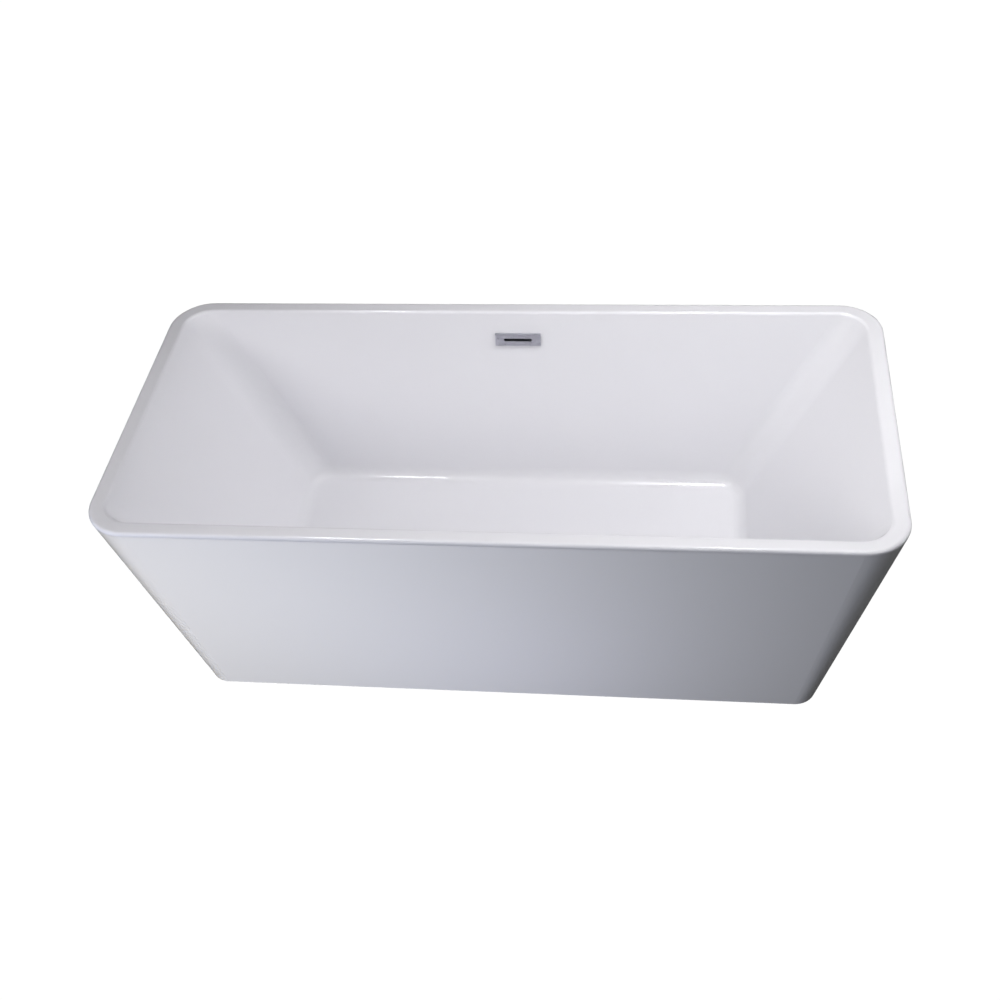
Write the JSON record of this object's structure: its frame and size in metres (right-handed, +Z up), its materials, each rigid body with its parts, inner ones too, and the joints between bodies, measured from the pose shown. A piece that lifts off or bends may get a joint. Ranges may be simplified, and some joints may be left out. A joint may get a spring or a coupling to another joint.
{
  "type": "freestanding bathtub",
  "caption": "Freestanding rectangular bathtub with leaning sides, reclined ends, a flat rim, a slotted overflow, a pop-up drain and levelling feet.",
  "frame": {"origin": "on the floor under the middle of the tub, with the feet screwed in", "axes": "+X along the tub's length, +Y towards the long side with the overflow, +Z up"},
  "size_m": [1.7, 0.8, 0.58],
  "materials": {
    "basin_acrylic": "gloss white sheet acrylic, polished",
    "skirt_acrylic": "gloss white sheet acrylic, polished",
    "board_wood": "raw particle board",
    "batten_wood": "raw softwood",
    "frame_steel": "black powder coat, satin",
    "zinc_steel": "bright zinc plate",
    "chrome_brass": "polished chrome",
    "cover_steel": "satin steel with a fine grain",
    "white_plastic": "moulded polypropylene",
    "grey_plastic": "moulded polypropylene",
    "black_plastic": "moulded nylon",
    "hose_plastic": "ribbed flexible hose",
    "black_rubber": "moulded rubber",
    "spring_steel": "drawn spring wire"
  },
  "bodies": {
    "tub": {"base_board": "board_wood", "basin_shell": "basin_acrylic", "board_screws": "zinc_steel", "brace_screws": "zinc_steel", "drain_body": "chrome_brass", "drain_lock_nut": "white_plastic", "drain_lower_washer": "black_rubber", "drain_upper_washer": "black_rubber", "end_braces": "zinc_steel", "front_batten": "batten_wood", "front_rail": "frame_steel", "hose_clamps": "zinc_steel", "left_batten": "batten_wood", "left_end_member": "frame_steel", "left_middle_member": "frame_steel", "lock_nuts": "zinc_steel", "outer_skirt": "skirt_acrylic", "overflow_body": "grey_plastic", "overflow_clamp_plate": "grey_plastic", "overflow_cover": "cover_steel", "overflow_gasket": "black_rubber", "overflow_hose": "hose_plastic", "overflow_screws": "zinc_steel", "plug_cartridge": "white_plastic", "plug_spring": "spring_steel", "rail_caps": "black_plastic", "rear_batten": "batten_wood", "rear_rail": "frame_steel", "right_batten": "batten_wood", "right_end_member": "frame_steel", "right_middle_member": "frame_steel", "side_braces": "zinc_steel", "slip_nut": "white_plastic", "slip_washer": "black_rubber", "waste_tailpiece": "white_plastic", "waste_tee": "white_plastic", "weld_nuts": "frame_steel"},
    "drain_plug": {"plug_cap": "chrome_brass", "plug_seal": "black_rubber", "plug_stem": "chrome_brass"},
    "front_left_foot": {"front_left_foot_rod": "zinc_steel", "front_left_foot_pad": "black_plastic", "front_left_foot_sole": "black_rubber"},
    "front_right_foot": {"front_right_foot_rod": "zinc_steel", "front_right_foot_pad": "black_plastic", "front_right_foot_sole": "black_rubber"},
    "rear_left_foot": {"rear_left_foot_rod": "zinc_steel", "rear_left_foot_pad": "black_plastic", "rear_left_foot_sole": "black_rubber"},
    "rear_right_foot": {"rear_right_foot_rod": "zinc_steel", "rear_right_foot_pad": "black_plastic", "rear_right_foot_sole": "black_rubber"}
  },
  "joints": [
    {"name": "plug_lift", "type": "slide", "parent": "tub", "child": "drain_plug", "axis": [0, 0, 1], "range_m": [0, 0.009], "deforming": ["plug_spring"]},
    {"name": "front_left_foot_screw", "type": "slide", "parent": "tub", "child": "front_left_foot", "axis": [0, 0, -1], "range_m": [0, 0.02]},
    {"name": "front_right_foot_screw", "type": "slide", "parent": "tub", "child": "front_right_foot", "axis": [0, 0, -1], "range_m": [0, 0.02]},
    {"name": "rear_left_foot_screw", "type": "slide", "parent": "tub", "child": "rear_left_foot", "axis": [0, 0, -1], "range_m": [0, 0.02]},
    {"name": "rear_right_foot_screw", "type": "slide", "parent": "tub", "child": "rear_right_foot", "axis": [0, 0, -1], "range_m": [0, 0.02]}
  ]
}
